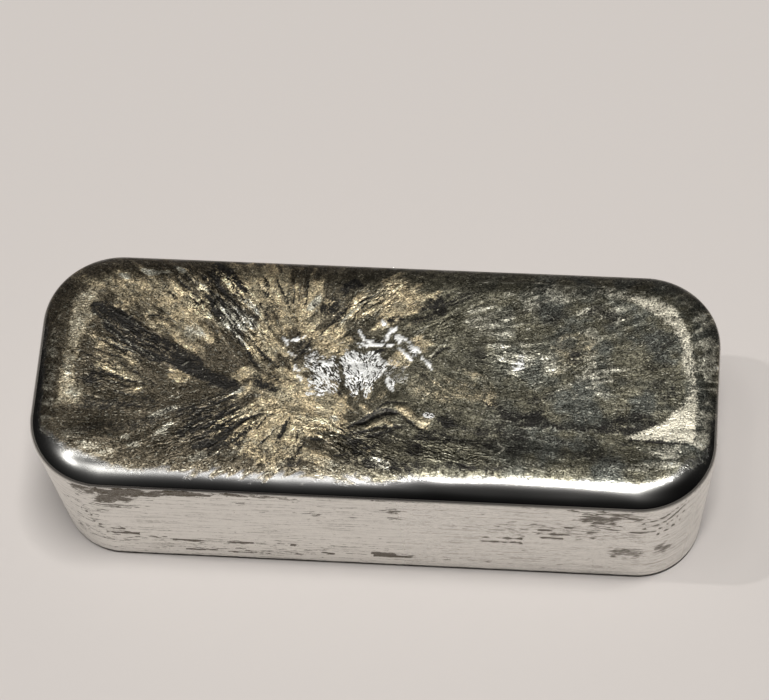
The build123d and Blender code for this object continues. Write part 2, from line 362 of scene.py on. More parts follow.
class IngotForm(bpy.types.PropertyGroup):
    """The real sizes of the bar, the same as its solid."""

    length: length_prop("Length", "Length of the bar at its crease", 0.110)
    width: length_prop("Width", "Width of the bar at its crease", 0.042)
    crease_height: length_prop("Crease height", "Height of the crease above the base", 0.030)
    corner_radius: length_prop("Corner radius", "Plan radius of the corners at the crease", 0.0125)
    draft: angle_prop("Draft", "Lean of the mould's walls", 4.0)
    base_edge: length_prop("Base edge radius", "Rounding between wall and base", 0.0012)
    crease_edge: length_prop("Crease edge radius", "Rounding of the crease", 0.0006)
    meniscus_radius: length_prop("Meniscus radius", "Radius of the rolled-over rim", 0.0090)
    meniscus_slope: angle_prop("Meniscus slope", "Slope of the rim where it meets the wall", 36.0)
    pitch: length_prop("Mesh pitch", "Spacing of the mesh on the poured face", 0.0003)


class IngotFinish(bpy.types.PropertyGroup):
    """The colours of the bare metal and of what the air and the heat did to it, with painted shade on the
    near rim and a painted dark reflection on the slabs.
    """

    metal: colour_prop("Metal", "Bare cast metal", (0.93, 0.92, 0.88))
    straw: colour_prop("Straw oxide", "Thin golden oxide", (0.56, 0.455, 0.285))
    dull_straw: colour_prop("Dull straw", "Golden oxide where it is thicker", (0.355, 0.305, 0.205))
    olive: colour_prop("Tarnish", "Olive grey tarnish of the poured face", (0.136, 0.126, 0.090))
    brown: colour_prop("Brown tarnish", "Warmer tarnish of the left half", (0.100, 0.084, 0.059))
    slate: colour_prop("Slate", "Cooler tarnish of the right half", (0.098, 0.103, 0.092))
    # The dark colour is also a painted reflection of the dim room on the slabs, and painted shadow along the
    # fold.
    dark: colour_prop("Dark film", "Darkest film, in the hollows and on the slabs", (0.03, 0.028, 0.025))
    pale: colour_prop("Frost", "Thin grey frost over the tarnish", (0.48, 0.455, 0.365))
    cream: colour_prop("Cream", "Coarse bright grain at the ends", (0.84, 0.78, 0.62))
    rim: colour_prop("Rim", "Dull bare metal of the rolled-over rim", (0.24, 0.235, 0.22))
    # The rim film colour is painted shade along the near rim, dimming the lamp's reflection there.
    film: colour_prop("Rim film", "Dark film along the near rim", (0.09, 0.088, 0.085))
    wall: colour_prop("Wall", "Metal that froze against the mould", (0.84, 0.82, 0.775))


class IngotStage(bpy.types.PropertyGroup):
    """The colours of the floor and of the room around it."""

    floor: colour_prop("Floor", "Pale paper floor", (0.62, 0.575, 0.54))
    sky: colour_prop("Room", "Dim room around the lamps", (0.016, 0.0155, 0.016))


def lattice(x, y, level, seed):
    """A fixed random number from 0 to 1 for each point of a whole-number lattice."""
    mixed = (x * SCATTER[0] + y * SCATTER[1] + level * SCATTER[2] + seed * SCATTER[3]) & WORD
    mixed = ((mixed ^ (mixed >> 13)) * MIXERS[0]) & WORD
    mixed = ((mixed ^ (mixed >> 15)) * MIXERS[1]) & WORD
    return ((mixed ^ (mixed >> 16)) & HALF_WORD) / HALF_WORD


def noise(x, y, seed, octaves=1):
    """Smooth noise from -1 to 1, with its cells one unit wide and each octave half as large."""
    total = 0.0
    weight = 1.0
    weights = 0.0
    level = 0
    for octave in range(octaves):
        cell_x, cell_y = (np.floor(v).astype(np.int64) for v in (x, y))
        blend_x, blend_y = (p * p * (3 - 2 * p) for p in (x - np.floor(x), y - np.floor(y)))
        value = 0.0
        for step_y, share_y in enumerate((1 - blend_y, blend_y)):
            for step_x, share_x in enumerate((1 - blend_x, blend_x)):
                drawn = lattice(cell_x + step_x, cell_y + step_y, level, seed + octave)
                value = value + share_x * share_y * drawn
        total = total + weight * (2 * value - 1)
        weights += weight
        weight *= 0.5
        x, y, level = (2 * v + shift for v, shift in zip((x, y, level), OCTAVE_SHIFT))
    return total / weights


def grained(x, y, grain):
    """Noise at places in mm, with its cells, seed and octaves as one of the grains gives them."""
    cell_x, cell_y, seed, octaves = grain
    return noise(x / cell_x, y / cell_y, seed, octaves)


def smooth(value, low, high):
    """Nought below low, one above high and smooth in between."""
    t = np.clip((value - low) / (high - low), 0, 1)
    return t * t * (3 - 2 * t)


def patches(x, y, entries, broken):
    """The strongest of some soft-edged ovals at each place, their edges broken up by noise."""
    total = np.zeros_like(x)
    for middle_x, middle_y, length, width, turn, strength in entries:
        c, s = math.cos(math.radians(turn)), math.sin(math.radians(turn))
        along = ((x - middle_x) * c + (y - middle_y) * s) * 2 / length
        across = ((y - middle_y) * c - (x - middle_x) * s) * 2 / width
        inside = 1 - np.sqrt(along**2 + across**2) + broken
        total = np.maximum(total, strength * smooth(inside, *PATCH_SOFTNESS))
    return total


def growth(x, y):
    """The way the crystals grew at each place, blended from the places where it is named."""
    total_c = np.zeros_like(x)
    total_s = np.zeros_like(x)
    for named_x, named_y, degrees in GROWTH:
        weight = 1 / ((x - named_x)**2 + (y - named_y)**2 + GROWTH_BLUR)**GROWTH_FADE
        total_c += weight * math.cos(math.radians(2 * degrees))
        total_s += weight * math.sin(math.radians(2 * degrees))
    half = np.arctan2(total_s, total_c) / 2
    return np.cos(half), np.sin(half)


def combed(x, y, way, width, reach, seed):
    """Noise drawn out along the growth of the crystals, scaled so that its spread is one."""
    total = np.zeros_like(x)
    for step in np.linspace(-reach, reach, COMB_STEPS):
        total += noise((x + step * way[0]) / width, (y + step * way[1]) / width, seed)
    return total / total.std()


def area(x, y, outline, soft):
    """One inside a closed outline and nought outside, with an edge that is soft to either side."""
    points = np.array(outline, float)
    nearest = np.full_like(x, np.inf)
    inside = np.zeros(x.shape, bool)
    for start, end in zip(points, np.roll(points, -1, axis=0)):
        step = end - start
        t = np.clip(((x - start[0]) * step[0] + (y - start[1]) * step[1]) / (step @ step), 0, 1)
        nearest = np.minimum(nearest, np.hypot(x - start[0] - t * step[0], y - start[1] - t * step[1]))
        if step[1]:
            crosses = (start[1] > y) != (end[1] > y)
            inside ^= crosses & (x < step[0] * (y - start[1]) / step[1] + start[0])
    return smooth(np.where(inside, nearest, -nearest), -soft, soft)


def stroke(x, y, line, width, wander=0.3, blunt=False):
    """For a line drawn on the bar, how near each place is: 1 on the line and 0 past its edge."""
    points = np.reshape(line, (-1, 2))
    reach = width + STROKE_REACH
    close = ((x > points[:, 0].min() - reach) & (x < points[:, 0].max() + reach)
             & (y > points[:, 1].min() - reach) & (y < points[:, 1].max() + reach))
    near = np.zeros_like(x)
    here_x = x[close] + wander * grained(x[close], y[close], WANDER_ALONG)
    here_y = y[close] + wander * grained(x[close], y[close], WANDER_ACROSS)
    lengths = np.hypot(*np.diff(points, axis=0).T)
    best = np.zeros_like(here_x)
    passed = 0.0
    for start, end, length in zip(points[:-1], points[1:], lengths):
        step = (end - start) / length
        t = np.clip((here_x - start[0]) * step[0] + (here_y - start[1]) * step[1], 0, length)
        off = np.hypot(here_x - start[0] - t * step[0], here_y - start[1] - t * step[1])
        turn = np.pi * (STROKE_TIP + (1 - 2 * STROKE_TIP) * ((passed + t) / lengths.sum()))
        taper = 1 if blunt else np.sqrt(np.clip(np.sin(turn), THINNEST_TIP, 1))
        best = np.maximum(best, 1 - off / (width / 2 * taper))
        passed += length
    near[close] = np.clip(best, 0, 1)
    return near


def sheaf_cracks():
    """The cracks of the sheaves as strokes, each with its own length, lean, width and depth."""
    cracks = []
    for number, (start, end, width_start, width_end, count) in enumerate(SHEAVES):
        start, end = np.array(start), np.array(end)
        way = (end - start) / np.hypot(*(end - start))
        across = np.array((-way[1], way[0]))
        for crack in range(count):
            chance = [lattice(number, crack, draw, SHEAF_SEED) for draw in range(5)]
            side = (crack + chance[0]) / count - 0.5
            begin = 0.45 * chance[1]
            stop = begin + 0.30 + 0.25 * chance[2]
            points = []
            for share in np.linspace(begin, stop, 4):
                off = side * (width_start + (width_end - width_start) * share)
                points.extend(start + (end - start) * share + across * off)
            width = 0.36 + 0.22 * chance[3]
            depth = 0.03 + 0.04 * chance[4]
            cracks.append((width, -depth, *points))
    return tuple(cracks)


def rounded(x, y, form):
    """Moves the points of a rectangular grid so that its square rings become the rounded rings of the bar.

    Gives the new places, each point's inset from the outline, and the outward direction there."""
    half_length, half_width, radius = form.length / 2, form.width / 2, form.corner_radius
    past_x, past_y = np.abs(x) - (half_length - radius), np.abs(y) - (half_width - radius)
    corner = (past_x > 0) & (past_y > 0)
    big, small = np.maximum(past_x, past_y), np.minimum(past_x, past_y)
    to_end = past_x >= past_y
    turn = np.radians(45) * small / np.where(big == 0, 1, big)
    turn = np.where(to_end, turn, np.radians(90) - turn)
    c, s = np.cos(turn), np.sin(turn)
    new_x = np.where(corner, half_length - radius + big * c, np.abs(x)) * np.sign(x)
    new_y = np.where(corner, half_width - radius + big * s, np.abs(y)) * np.sign(y)
    out_x = np.where(corner, c, np.where(to_end, 1.0, 0.0)) * np.sign(x)
    out_y = np.where(corner, s, np.where(to_end, 0.0, 1.0)) * np.sign(y)
    return new_x, new_y, radius - big, out_x, out_y


def crease_arc(form):
    """The crease's rounding: its centre, outward and up from the crease, and its two end angles."""
    slope, draft, radius = form.meniscus_slope, form.draft, form.crease_edge
    on_rim = np.array((math.sin(slope), math.cos(slope)))
    on_wall = np.array((math.cos(draft), -math.sin(draft)))
    centre = np.linalg.solve(np.array((on_rim, on_wall)), np.array((-radius, -radius)))
    return centre, math.atan2(on_rim[1], on_rim[0]), math.atan2(on_wall[1], on_wall[0])


def wall_rings(form):
    """The rings from the crease down to the base, each as (inset from the crease's outline, height)."""
    centre, start, end = crease_arc(form)
    rings = []
    for step in range(1, CREASE_RINGS + 1):
        angle = start + (end - start) * step / CREASE_RINGS
        outward = centre + form.crease_edge * np.array((math.cos(angle), math.sin(angle)))
        rings.append((-outward[0], form.crease_height + outward[1]))
    top = rings[-1][1]
    foot = form.base_edge * (1 + math.sin(form.draft))
    for row in range(1, WALL_RINGS + 1):
        z = top + (foot - top) * (row / WALL_RINGS) ** WALL_CROWDING
        rings.append(((form.crease_height - z) * math.tan(form.draft), z))
    edge_inset = rings[-1][0] + form.base_edge * math.cos(form.draft)
    for step in range(1, FOOT_RINGS + 1):
        angle = -form.draft + (form.draft - math.pi / 2) * step / FOOT_RINGS
        rings.append((edge_inset - form.base_edge * math.cos(angle), form.base_edge * (1 + math.sin(angle))))
    return rings


class INGOT_OT_pour(bpy.types.Operator):
    """Pours the bar: a close grid for the free surface, with the wall drawn down from its edge"""

    bl_idname = "ingot.pour"
    bl_label = "Pour the bar"

    def execute(self, context):
        form = context.scene.ingot_form
        bpy.ops.object.select_all(action="DESELECT")
        columns = round(form.length / form.pitch)
        rows = round(form.width / form.pitch)
        bpy.ops.mesh.primitive_grid_add(x_subdivisions=columns, y_subdivisions=rows, size=2)
        bar = context.object
        bar.name = "cast_bar"
        bar.data.name = "cast_bar"
        bpy.ops.object.mode_set(mode="EDIT")
        bpy.ops.transform.resize(value=(form.length / 2, form.width / 2, 1))
        bpy.ops.transform.translate(value=(0, 0, form.crease_height))
        bpy.ops.mesh.select_mode(type="EDGE")
        bpy.ops.mesh.select_all(action="DESELECT")
        bpy.ops.mesh.select_non_manifold()
        height = form.crease_height
        for _, z in wall_rings(form):
            bpy.ops.mesh.extrude_edges_move(TRANSFORM_OT_translate={"value": (0, 0, z - height)})
            height = z
        bpy.ops.mesh.edge_face_add()
        bpy.ops.mesh.select_all(action="SELECT")
        bpy.ops.mesh.normals_make_consistent(inside=False)
        bpy.ops.object.mode_set(mode="OBJECT")
        return {"FINISHED"}


def crystal_edge(x, y, inset, streaks):
    """How far in mm each place lies inside the outline, less where more of the rim is left smooth."""
    ragged = 0.5 * grained(x, y, EDGE_GRAIN)
    right_end = 2.2 * smooth(x, 49.5, 53.0)
    left_end = 1.1 * smooth(-x, 46, 52)
    by_side = np.where(y > 0, 0.10, 0.035 + 0.07 * smooth(x, -5, 20)) * y
    frayed = 0.45 * streaks * smooth(-y, 8, 14) * smooth(x, -36, -28) * smooth(-x, -8, 0)
    bald_corner = 1.6 * smooth(1 - np.hypot((x + 46.5) / 9, (y + 15.0) / 6), 0, 0.6)
    return inset + ragged + right_end + left_end + by_side + frayed - bald_corner


def draw_strokes(x, y, grain, height, finish):
    """Adds the slabs, cracks, light lines, ridges and folds to the relief and the finishes, in place."""

    def cover(name, strength):
        finish[name] = np.maximum(finish[name], strength)

    for width, rise, *line in SLABS:
        near = stroke(x, y, line, width, 0.2, blunt=True)
        height += rise * smooth(near, 0, 0.3)
        # Painted reflection: the slabs are coloured near-black, as the dim room mirrored in them.
        cover("dark", 1.1 * smooth(near, 0, 0.3))
        finish["pale"] *= 1 - smooth(near, 0, 0.2)
        finish["straw"] *= 1 - smooth(near, 0, 0.2)
    for width, rise, *line in CRACKS + sheaf_cracks():
        near = stroke(x, y, line, width)
        height += rise * smooth(near, 0, 1)
        cover("dark", 1.15 * smooth(near, 0, 0.5))
    for width, rise, *line in LIGHT_LINES:
        near = stroke(x, y, line, width)
        height += rise * smooth(near, 0, 1)
        cover("lines", 0.52 * smooth(near, 0, 0.6))
    for width, rise, *line in RIDGES:
        near = stroke(x, y, line, width, 0.6)
        height += (0.7 + 0.5 * grain) * rise * smooth(near, 0, 1)
        cover("ridge", smooth(near + 0.8 * grain, 0.35, 0.60) * (near > 0))
        finish["dark"] *= 1 - smooth(near, 0, 0.4)
    for width, rise, *line in FOLDS:
        near = stroke(x, y, line, width, 0.1)
        height += rise * smooth(near, 0, 1)
        cover("straw", 0.45 * smooth(near, 0, 0.5))
        finish["dark"] *= 1 - smooth(near, 0, 0.4)
        cover("calm", smooth(near, 0, 0.5))


def poured_face(x, y, inset):
    """The relief of the poured face in mm, the way of its growth and its finishes, at places in mm."""
    x, y = x - FACE_ORIGIN[0], y - FACE_ORIGIN[1]
    way = growth(x, y)
    streaks = combed(x, y, way, *STREAKS)
    bands = combed(x, y, way, *BANDS)
    grain = grained(x, y, FACE_GRAIN)
    broken = 0.45 * grained(x, y, PATCH_EDGES) + 0.14 * bands + 0.12 * streaks
    inner = smooth(crystal_edge(x, y, inset, streaks), *CRYSTALS_START)
    sandy = area(x, y, SANDY_BAND, 1.0)
    finish = {
        "face": inner,
        "straw": np.maximum(patches(x, y, STRAW_PATCHES, broken), 0.5 * sandy),
        "dark": patches(x, y, DARK_PATCHES, 1.2 * broken + 0.2 * bands),
        "pale": np.maximum(patches(x, y, PALE_PATCHES, broken + 0.10 * streaks), 0.5 * sandy),
        "bare": patches(x, y, BARE_PATCHES, broken + 0.30 * grained(x, y, FROST_EDGES)),
        "cream": area(x, y, CRESCENT, 0.8) * (0.8 + 0.6 * smooth(-y, 1, 7)),
        "lines": np.zeros_like(x),
        "ridge": np.zeros_like(x),
        "calm": smooth(1 - np.hypot((x - 3.0) / 4.2, (y + 5.0) / 3.0) + 0.3 * broken, 0, 0.4),
    }
    height = 0.05 * grained(x, y, LOW_WAVES) + inner * (0.007 * streaks + 0.014 * bands + 0.006 * grain)
    height += inner * 0.09 * finish["bare"] * grained(x, y, FROST_LUMPS)
    draw_strokes(x, y, grain, height, finish)
    for middle_x, middle_y, length, width, rise in SWELLS:
        far = np.hypot((x - middle_x) * 2 / length, (y - middle_y) * 2 / width)
        height += rise * smooth(1 - far, 0, 1)

    combing = patches(x, y, STREAKY_PATCHES, broken)
    tone = (1 - 0.8 * finish["calm"]) * ((0.6 + 1.2 * combing) * streaks + 0.5 * bands + 0.3 * grain)
    tone += (1.5 + 1.2 * smooth(x, 4, 16)) * grained(x, y, CLOUDS)
    # Painted shade: the tone falls along the edge, much more on the near side, and less at the right end.
    tone -= np.where(y > 0, 0.2, 1.2) * (1 - smooth(inset, *PAINTED_SHADE_EDGE)) * (1 - 0.8 * smooth(x, 46, 52))
    finish["tone"] = np.clip(tone, -3, 3)
    finish["comb"] = (0.2 + combing) * (1 - finish["calm"])
    return height, way, finish


def moulded_wall(x, z, near_side):
    """The relief of the wall in mm and its finishes; only the near side is worn, and painted shade darkens
    the foot all round.
    """
    patched = np.zeros_like(x)
    broken = 0.55 * grained(x, z, WALL_EDGES)
    for middle_x, middle_z, length, tall, strength in WALL_PATCHES:
        inside = 1 - np.hypot((x - middle_x) * 2 / length, (z - middle_z) * 2 / tall) + broken
        patched = np.maximum(patched, strength * smooth(inside, *WALL_SOFTNESS))
    scores_and_foot_shade = np.zeros_like(x)
    for width, *line in WALL_SCORES:
        scores_and_foot_shade = np.maximum(scores_and_foot_shade, smooth(stroke(x, z, line, width, 0.25), 0, 0.7))
    patched = patched * near_side
    # Painted shade: a dark line along the foot, where the bar meets the floor.
    foot = 1 - smooth(z, 0.45, 1.0)
    scores_and_foot_shade = np.maximum(scores_and_foot_shade * near_side, 1.25 * foot)
    wave = 0.02 * grained(x, z, WALL_WAVE)
    wear = 0.05 * patched * (1 + grained(x, z, WALL_WRINKLES))
    cuts = 0.04 * scores_and_foot_shade * (1 - foot)
    return wave - wear - cuts, {"wall": np.ones_like(z), "patched": patched, "scores_and_foot_shade": scores_and_foot_shade}


class INGOT_OT_freeze(bpy.types.Operator):
    """Freezes the bar: rounds its corners, rolls over its rim and raises the relief of its face and walls"""

    bl_idname = "ingot.freeze"
    bl_label = "Freeze the bar"

    def execute(self, context):
        form = context.scene.ingot_form
        bar = context.object
        mesh = bar.data
        places = np.empty(len(mesh.vertices) * 3)
        mesh.vertices.foreach_get("co", places)
        places = places.reshape(-1, 3)
        rings = np.array(wall_rings(form))
        rings = rings[np.argsort(rings[:, 1])]
        on_face = places[:, 2] > form.crease_height - LEVEL_SLACK

        new = np.empty_like(places)
        new[on_face], way, face = self.freeze_face(form, places[on_face])
        new[~on_face], wall = self.freeze_wall(form, places[~on_face], rings)
        mesh.vertices.foreach_set("co", new.ravel())
        mesh.update()
        for where, finishes in ((on_face, face), (~on_face, wall)):
            for name, values in finishes.items():
                full = np.zeros(len(places), np.float32)
                full[where] = values
                mesh.attributes.new(name, "FLOAT", "POINT").data.foreach_set("value", full)
        grown = np.zeros((len(places), 3), np.float32)
        grown[on_face, 0], grown[on_face, 1] = way
        mesh.attributes.new("way", "FLOAT_VECTOR", "POINT").data.foreach_set("vector", grown.ravel())
        bpy.ops.object.shade_smooth()
        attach(bar, "root")
        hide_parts("ingot")
        return {"FINISHED"}

    def freeze_face(self, form, places):
        """The places of the free surface, with the way of its growth and its finishes."""
        centre, start, _ = crease_arc(form)
        edge_inset = -(centre[0] + form.crease_edge * math.cos(start))
        shrink_x, shrink_y = (1 - 2 * edge_inset / across for across in (form.length, form.width))
        x, y, inset, *_ = rounded(places[:, 0] * shrink_x, places[:, 1] * shrink_y, form)
        reach = form.meniscus_radius * math.sin(form.meniscus_slope)
        past = np.clip(reach - inset, 0, reach) / form.meniscus_radius
        rise = form.meniscus_radius * (1 - math.cos(form.meniscus_slope))
        z = form.crease_height + rise - form.meniscus_radius * (1 - np.sqrt(1 - past**2))
        relief, way, finishes = poured_face(x / MM, y / MM, inset / MM)
        z += relief * smooth(inset / MM, *CREASE_FADE) * MM
        return np.stack((x, y, z), axis=-1), way, finishes

    def freeze_wall(self, form, places, rings):
        """The places of the walls and the base, with their finishes."""
        z = places[:, 2]
        x, y, _, out_x, out_y = rounded(places[:, 0], places[:, 1], form)
        relief, finishes = moulded_wall(x / MM, z / MM, smooth(-out_y, 0.0, 0.5))
        inward = np.interp(z, rings[:, 1], rings[:, 0]) - relief * smooth(z / MM, *FOOT_FADE) * MM
        return np.stack((x - out_x * inward, y - out_y * inward, z), axis=-1), finishes


class Nodes:
    """Adds nodes to a material; an input is a number, a colour or another node's output."""

    def __init__(self, tree):
        self.tree = tree

    def add(self, kind, inputs=None, **settings):
        node = self.tree.nodes.new(kind)
        for key, value in settings.items():
            setattr(node, key, value)
        for key, value in (inputs or {}).items():
            if isinstance(value, bpy.types.NodeSocket):
                self.tree.links.new(value, node.inputs[key])
            else:
                node.inputs[key].default_value = value
        return node

    def attribute(self, name, output="Fac"):
        return self.add("ShaderNodeAttribute", attribute_name=name).outputs[output]

    def math(self, operation, first, *others):
        """Applies one operation to two or more values, from left to right."""
        for other in others:
            first = self.add("ShaderNodeMath", {0: first, 1: other}, operation=operation).outputs[0]
        return first

    def plus(self, *values):
        return self.math("ADD", *values)

    def minus(self, *values):
        return self.math("SUBTRACT", *values)

    def times(self, *values):
        return self.math("MULTIPLY", *values)

    def most(self, *values):
        return self.math("MAXIMUM", *values)

    def range(self, value, low, high, to_low=0.0, to_high=1.0):
        return self.add(
            "ShaderNodeMapRange", {"Value": value, 1: low, 2: high, 3: to_low, 4: to_high},
            interpolation_type="SMOOTHSTEP").outputs[0]

    def creases(self, value, spacing, width, in_crease, between):
        """Thin lines along which a value folds back on itself: one number in them and another between."""
        return self.range(self.math("PINGPONG", value, spacing), 0.0, width, in_crease, between)

    def scaled(self, vector, scale):
        return self.add("ShaderNodeMapping", {"Vector": vector, "Scale": scale}).outputs[0]

    def moved(self, vector, way, amount):
        """A vector moved along a way by an amount, which has a number for each axis."""
        return self.add(
            "ShaderNodeVectorMath", {0: way, 1: amount, 2: vector}, operation="MULTIPLY_ADD").outputs[0]

    def noise(self, vector, scale, detail, roughness=0.5, distortion=0.0, output="Fac"):
        inputs = {"Vector": vector, "Scale": scale, "Detail": detail, "Roughness": roughness}
        inputs["Distortion"] = distortion
        return self.add("ShaderNodeTexNoise", inputs).outputs[output]

    def combed(self, vector, way, scale, step, count):
        """Noise drawn out along the growth of the crystals, around nought."""
        total = 0.0
        for turn in range(-count, count + 1):
            total = self.plus(self.noise(self.moved(vector, way, (turn * step,) * 3), scale, 1), total)
        return self.minus(total, count + 0.5)


class CastMetal(Nodes):
    """The finish of the whole bar, from Object coordinates in mm and the finishes that its mesh keeps."""

    def __init__(self, tree, finish):
        super().__init__(tree)
        self.paint = {name: (*getattr(finish, name), 1) for name in IngotFinish.__annotations__}
        self.mask = {name: self.attribute(name) for name in FINISHES}
        self.place = self.scaled(self.add("ShaderNodeTexCoord").outputs["Object"], (1 / MM,) * 3)
        parted = self.add("ShaderNodeSeparateXYZ", {0: self.place})
        self.along = parted.outputs[0]
        self.near_side = self.range(parted.outputs[1], -17.5, -13.0, 1.0, 0.0)
        self.make_grain()

    def make_grain(self):
        """The grain that is finer than the mesh: specks, hairs along the growth, wrinkles and striations."""
        place, mask = self.place, self.mask
        way = self.attribute("way", "Vector")
        bent = self.moved(place, self.noise(place, 0.45, 2.0, output="Color"), (2.4, 2.4, 0.0))
        combed = self.combed(bent, way, 2.7, 0.24, 3)
        self.hair = self.times(combed, mask["comb"])
        self.hairs = self.combed(place, way, 4.4, 0.11, 2)
        self.fine = self.noise(place, 3.4, 3, 0.6)
        self.coarse = self.noise(place, 1.1, 3, 0.6)
        self.rest = self.minus(1.0, self.times(mask["calm"], 0.75))
        self.speckle = self.times(self.minus(self.plus(self.fine, self.coarse), 1.0), self.rest)
        self.mottle = self.plus(
            self.times(mask["tone"], 0.17), self.times(self.speckle, 1.9), self.times(self.hair, 0.55))
        self.veins = self.creases(self.noise(place, 1.2, 2.5, distortion=1.0), 0.12, 0.045, 0.35, 1.10)
        threads = self.creases(combed, 0.33, 0.14, 0.22, 1.12)
        threads = self.plus(1.0, self.times(self.minus(threads, 1.0), mask["comb"]))
        wrinkles = self.creases(self.coarse, 0.09, 0.034, 0.30, 1.12)
        shade = self.math("MINIMUM", self.math("POWER", 2.0, self.times(self.mottle, 1.7)), BRIGHTEST)
        self.shade = self.times(shade, wrinkles, self.times(self.veins, threads))
        self.frosted = self.cover("bare", 0.8, 0.25, 0.70)
        self.ruled = self.noise(self.scaled(place, (0.10, 0.10, 2.2)), 1.0, 3, 0.6)
        self.dashes = self.noise(self.scaled(place, (0.55, 0.55, 2.6)), 1.0, 3, 0.65)

    def mix(self, share, a, b):
        """Blends two colours, either of which may be the name of one of the finish's."""
        a, b = (self.paint.get(colour, colour) for colour in (a, b))
        return self.add("ShaderNodeMix", {0: share, 6: a, 7: b}, data_type="RGBA").outputs[2]

    def layered(self, colour, *layers):
        """Lays colours over one another, each given as a share and a colour."""
        for share, over in layers:
            colour = self.mix(share, colour, over)
        return colour

    def cover(self, name, noise_share, low, high):
        """Where one finish covers the metal, with an edge broken up by the grain."""
        broken = self.plus(1.0, self.times(self.mottle, noise_share))
        return self.range(self.times(self.mask[name], broken), low, high)

    def tarnish(self):
        """Olive tarnish, browner to the left and cooler to the right, under straw crust and thin frost, and
        darkened along the face's edge by painted shade in the tone.
        """
        clouded = self.range(self.noise(self.place, 0.16, 3, 0.6), 0.40, 0.60)
        aged = self.range(self.noise(self.place, 0.35, 3, 0.6), 0.38, 0.60)
        colour = self.layered(
            "brown",
            (self.range(self.along, -16.0, 14.0), "olive"),
            (self.times(clouded, self.range(self.along, 8.0, 30.0, 0.0, 0.8)), "slate"),
            (self.cover("straw", 0.7, 0.08, 0.70), self.mix(aged, "dull_straw", "straw")),
            (self.cover("pale", 1.0, 0.15, 1.10), "pale"))
        shaded = self.add("ShaderNodeVectorMath", {0: colour, "Scale": self.shade}, operation="SCALE")
        return shaded.outputs[0]

    def crystals(self):
        """What lies over the tarnish, from pale hairs and dark film to frost, ridges and flecks; the dark
        layer also carries painted reflection on the slabs and painted shade by the fold and above the near
        rim.
        """
        mask = self.mask
        grainy = self.plus(self.fine, self.times(self.minus(mask["cream"], 0.8), 0.25))
        grains = self.times(self.cover("cream", 1.0, 0.25, 0.90), self.range(grainy, 0.34, 0.62, 0.25, 1.0))
        needles = self.plus(self.fine, self.times(mask["bare"], 0.03))
        needles = self.plus(self.times(self.hairs, 0.5), needles)
        return self.layered(
            self.tarnish(),
            (self.times(self.range(self.hairs, 0.22, 0.65, 0.0, 0.48), self.rest), "pale"),
            (self.cover("dark", -0.9, 0.20, 1.15), "dark"),
            (grains, "cream"),
            (self.times(self.frosted, 0.6), "dark"),
            (self.times(self.frosted, self.range(needles, 0.44, 0.57)), "metal"),
            (mask["ridge"], "metal"),
            (self.cover("lines", 0.4, 0.30, 0.70), "pale"),
            (self.range(self.noise(self.place, 1.9, 2), 0.68, 0.74, 0.0, 0.7), "pale"))

    def rim(self):
        """Smooth metal, darkened along the near side by painted shade that dims the lamp's reflection there,
        less towards both ends.
        """
        to_right = self.range(self.along, -5.0, 45.0)
        from_left = self.range(self.along, -46.0, -30.0, 0.40, 1.0)
        near_rim_shade = self.times(self.near_side, self.minus(from_left, self.times(to_right, 0.7)))
        return self.mix(near_rim_shade, "rim", "film")

    def walls(self):
        """Metal that froze against the mould, with level striations, worn patches, scores, and painted shade
        along the foot.
        """
        mask, dashes = self.mask, self.dashes
        worn = self.range(self.plus(self.times(mask["patched"], 0.22), dashes), 0.62, 0.70)
        worn = self.times(worn, self.range(self.fine, 0.35, 0.52, 0.82, 1.0))
        cut_and_foot_shade = self.range(self.plus(self.times(mask["scores_and_foot_shade"], 0.5), dashes), 0.72, 0.82)
        faded = self.range(self.coarse, 0.35, 0.62, 0.15, 0.62)
        striated = self.times(self.range(self.ruled, 0.46, 0.72), faded)
        return self.mix(self.most(worn, cut_and_foot_shade, striated), "wall", "brown")

    def colour(self):
        skinned = self.range(self.plus(self.mask["face"], self.times(self.speckle, 0.4)), 0.10, 0.75)
        return self.mix(self.mask["wall"], self.mix(skinned, self.rim(), self.crystals()), self.walls())

    def roughness(self):
        mask = self.mask
        polished = self.times(self.near_side, self.range(self.along, -8.0, 14.0, 0.0, NEAR_RIM_POLISH))
        skinned = self.plus(mask["face"], self.times(self.speckle, 0.3))
        rough = self.range(skinned, 0.05, 0.95, self.minus(RIM_ROUGHNESS, polished), SKIN_ROUGHNESS)
        rough = self.plus(rough, self.times(mask["wall"], WALL_ROUGHER))
        gloss = self.range(self.hairs, 0.05, 0.50, 0.0, HAIR_POLISH)
        rough = self.minus(rough, self.times(gloss, mask["face"]))
        return self.plus(rough, self.times(self.most(self.frosted, mask["ridge"]), FROST_ROUGHER))

    def relief(self):
        mask = self.mask
        striations = self.times(self.plus(self.ruled, self.dashes), self.times(mask["wall"], 0.5))
        grain = self.plus(
            self.times(self.fine, 0.4), self.times(self.hair, 0.35), self.times(self.veins, 0.25))
        inputs = {
            "Strength": self.most(mask["face"], mask["wall"]), "Distance": BUMP_HEIGHT,
            "Height": self.plus(grain, striations)}
        return self.add("ShaderNodeBump", inputs).outputs["Normal"]


